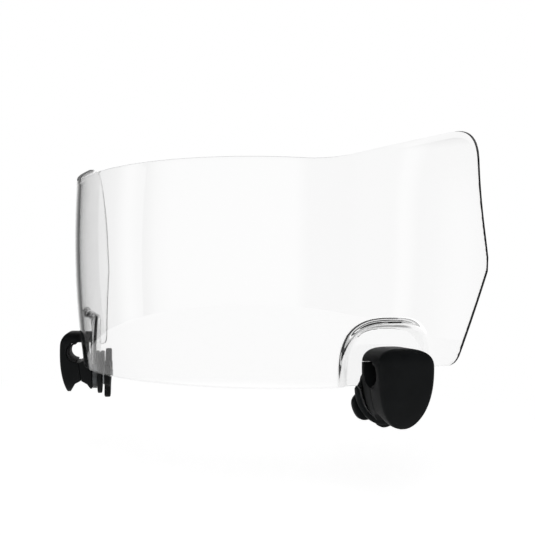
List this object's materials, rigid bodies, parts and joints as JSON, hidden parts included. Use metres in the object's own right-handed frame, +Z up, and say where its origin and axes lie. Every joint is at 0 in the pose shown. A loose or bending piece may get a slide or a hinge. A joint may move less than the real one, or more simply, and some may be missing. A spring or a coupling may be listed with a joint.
{
  "type": "clear football visor with screw clamps",
  "caption": "Clear wraparound visor bent from one sheet, with a screw clamp at each lower side that hooks over a facemask bar and is tightened by an inner thumb knob.",
  "frame": {"origin": "middle of the lens's front face, at the height of the lens's lower edge", "axes": "+X to the wearer's left, -Y to the front, +Z up"},
  "size_m": [0.2182, 0.0866, 0.1208],
  "materials": {
    "clear_polycarbonate": "clear polished polycarbonate",
    "black_nylon": "moulded matte",
    "grey_nylon": "moulded matte",
    "black_rubber": "smooth rubber",
    "steel": "zinc plated",
    "brass": "turned"
  },
  "bodies": {
    "visor": {"lens": "clear_polycarbonate", "inner_jaw_left": "black_nylon", "outer_gasket_left": "black_rubber", "inner_gasket_left": "black_rubber", "backing_plate_left": "grey_nylon", "thrust_washer_left": "steel", "inner_jaw_right": "black_nylon", "outer_gasket_right": "black_rubber", "inner_gasket_right": "black_rubber", "backing_plate_right": "grey_nylon", "thrust_washer_right": "steel"},
    "jaw_left": {"outer_jaw_left": "black_nylon", "bar_liner_left": "black_rubber", "clamp_stud_left": "steel"},
    "knob_left": {"thumb_knob_left": "black_nylon", "knob_insert_left": "brass"},
    "jaw_right": {"outer_jaw_right": "black_nylon", "bar_liner_right": "black_rubber", "clamp_stud_right": "steel"},
    "knob_right": {"thumb_knob_right": "black_nylon", "knob_insert_right": "brass"}
  },
  "joints": [
    {"name": "knob_left_turn", "type": "hinge", "parent": "visor", "child": "knob_left", "pos_m": [0.07354, 0.05297, -0.0049], "axis": [-0.7521, 0.659, 0], "range_deg": [0, 1080]},
    {"name": "jaw_left_slide", "type": "slide", "parent": "visor", "child": "jaw_left", "axis": [0.7521, -0.659, 0], "range_m": [0, 0.003]},
    {"name": "knob_right_turn", "type": "hinge", "parent": "visor", "child": "knob_right", "pos_m": [-0.07354, 0.05297, -0.0049], "axis": [0.7521, 0.659, 0], "range_deg": [0, 1080]},
    {"name": "jaw_right_slide", "type": "slide", "parent": "visor", "child": "jaw_right", "axis": [-0.7521, -0.659, 0], "range_m": [0, 0.003]}
  ],
  "couplings": [
    {"joint": "knob_left_turn", "follows": "jaw_left_slide", "rad_per_m": 6283.2},
    {"joint": "knob_right_turn", "follows": "jaw_right_slide", "rad_per_m": 6283.2}
  ]
}
